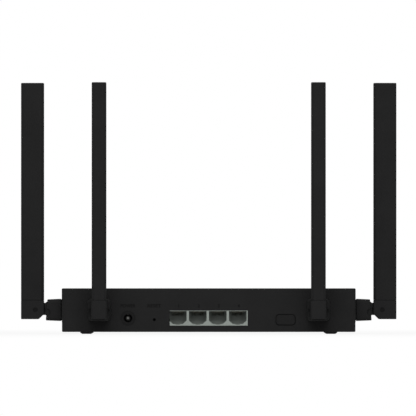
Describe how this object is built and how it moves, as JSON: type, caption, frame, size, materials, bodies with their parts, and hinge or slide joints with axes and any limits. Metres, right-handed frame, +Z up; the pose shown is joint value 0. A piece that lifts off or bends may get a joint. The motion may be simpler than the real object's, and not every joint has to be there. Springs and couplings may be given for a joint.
{
  "type": "wireless router",
  "caption": "Desktop wireless router: flat rectangular housing, antennas that fold and swivel on side and rear stubs, network sockets, power inlet and push button at the rear.",
  "frame": {"origin": "under the middle of the object's box, on the surface the feet stand on", "axes": "+X to the right when the connector face is looked at, +Y from the connector face to the front, +Z up"},
  "size_m": [0.2626, 0.1686, 0.1756],
  "materials": {
    "housing_plastic": "fine matte, black",
    "panel_plastic": "fine matte, black",
    "antenna_plastic": "smooth matte, black",
    "button_plastic": "fine matte, black",
    "port_plastic": "matte, pale grey-green",
    "jack_plastic": "matte, black",
    "rubber": "matte",
    "steel": "zinc plated",
    "contact_metal": "thin gold flash",
    "dark_steel": "blackened",
    "pin_metal": "dark nickel plated",
    "board": "solder mask, green",
    "chip_plastic": "moulded, black",
    "aluminium": "anodised",
    "can_metal": "tin plated",
    "light_plastic": "clear, frosted tips",
    "led": "clear",
    "ferrite": "ferrite grey",
    "sleeve": "heat-shrunk sleeve",
    "cable": "smooth jacket",
    "label": "blank, neutral grey"
  },
  "bodies": {
    "router_body": {"upper_housing": "housing_plastic", "top_panel": "panel_plastic", "base_cover": "housing_plastic", "rating_label": "label", "rubber_feet": "rubber", "housing_screws": "steel", "circuit_board": "board", "board_screws": "steel", "ethernet_port_block": "port_plastic", "ethernet_contacts": "contact_metal", "power_jack": "jack_plastic", "power_jack_pin": "pin_metal", "power_jack_contact": "pin_metal", "reset_switch_body": "chip_plastic", "pairing_switch_body": "chip_plastic", "status_leds": "led", "light_guide": "light_plastic", "processor": "chip_plastic", "heat_sink": "aluminium", "shield_cans": "can_metal", "network_transformers": "ferrite", "capacitors": "sleeve", "inductors": "ferrite", "memory_chips": "chip_plastic", "coax_plugs": "contact_metal", "left_outer_coax_lead": "cable", "left_rear_coax_lead": "cable", "right_rear_coax_lead": "cable", "right_outer_coax_lead": "cable"},
    "left_outer_swivel": {"left_outer_swivel_base": "antenna_plastic", "left_outer_retaining_clip": "steel"},
    "left_outer_antenna": {"left_outer_hinge_head": "antenna_plastic", "left_outer_hinge_pin": "dark_steel", "left_outer_radome": "antenna_plastic", "left_outer_antenna_element": "board"},
    "left_rear_swivel": {"left_rear_swivel_base": "antenna_plastic", "left_rear_retaining_clip": "steel"},
    "left_rear_antenna": {"left_rear_hinge_head": "antenna_plastic", "left_rear_hinge_pin": "dark_steel", "left_rear_radome": "antenna_plastic", "left_rear_antenna_element": "board"},
    "right_rear_swivel": {"right_rear_swivel_base": "antenna_plastic", "right_rear_retaining_clip": "steel"},
    "right_rear_antenna": {"right_rear_hinge_head": "antenna_plastic", "right_rear_hinge_pin": "dark_steel", "right_rear_radome": "antenna_plastic", "right_rear_antenna_element": "board"},
    "right_outer_swivel": {"right_outer_swivel_base": "antenna_plastic", "right_outer_retaining_clip": "steel"},
    "right_outer_antenna": {"right_outer_hinge_head": "antenna_plastic", "right_outer_hinge_pin": "dark_steel", "right_outer_radome": "antenna_plastic", "right_outer_antenna_element": "board"},
    "pairing_button": {"pairing_button": "button_plastic"},
    "pairing_plunger": {"pairing_switch_plunger": "jack_plastic"},
    "reset_plunger": {"reset_switch_plunger": "jack_plastic"}
  },
  "joints": [
    {"name": "left_outer_turn", "type": "hinge", "parent": "router_body", "child": "left_outer_swivel", "pos_m": [-0.1027, -0.0337, 0.0168], "axis": [1, 0, 0], "range_deg": [-90, 90]},
    {"name": "left_outer_fold", "type": "hinge", "parent": "left_outer_swivel", "child": "left_outer_antenna", "pos_m": [-0.12135, -0.0337, 0.0168], "axis": [0, -1, 0], "range_deg": [0, 90]},
    {"name": "left_rear_turn", "type": "hinge", "parent": "router_body", "child": "left_rear_swivel", "pos_m": [-0.0765, -0.0557, 0.0168], "axis": [0, 1, 0], "range_deg": [-90, 60]},
    {"name": "left_rear_fold", "type": "hinge", "parent": "left_rear_swivel", "child": "left_rear_antenna", "pos_m": [-0.0765, -0.07435, 0.0168], "axis": [1, 0, 0], "range_deg": [0, 90]},
    {"name": "right_rear_turn", "type": "hinge", "parent": "router_body", "child": "right_rear_swivel", "pos_m": [0.0765, -0.0557, 0.0168], "axis": [0, -1, 0], "range_deg": [-90, 60]},
    {"name": "right_rear_fold", "type": "hinge", "parent": "right_rear_swivel", "child": "right_rear_antenna", "pos_m": [0.0765, -0.07435, 0.0168], "axis": [1, 0, 0], "range_deg": [0, 90]},
    {"name": "right_outer_turn", "type": "hinge", "parent": "router_body", "child": "right_outer_swivel", "pos_m": [0.1027, -0.0337, 0.0168], "axis": [1, 0, 0], "range_deg": [-90, 90]},
    {"name": "right_outer_fold", "type": "hinge", "parent": "right_outer_swivel", "child": "right_outer_antenna", "pos_m": [0.12135, -0.0337, 0.0168], "axis": [0, 1, 0], "range_deg": [0, 90]},
    {"name": "pairing_button_press", "type": "slide", "parent": "router_body", "child": "pairing_button", "axis": [0, 1, 0], "range_m": [0, 0.0005], "stiffness_N_per_m": 3000},
    {"name": "pairing_plunger_press", "type": "slide", "parent": "router_body", "child": "pairing_plunger", "axis": [0, 1, 0], "range_m": [0, 0.0005]},
    {"name": "reset_plunger_press", "type": "slide", "parent": "router_body", "child": "reset_plunger", "axis": [0, 1, 0], "range_m": [0, 0.0004], "stiffness_N_per_m": 3000}
  ],
  "couplings": [
    {"joint": "pairing_plunger_press", "follows": "pairing_button_press", "ratio": 1}
  ]
}
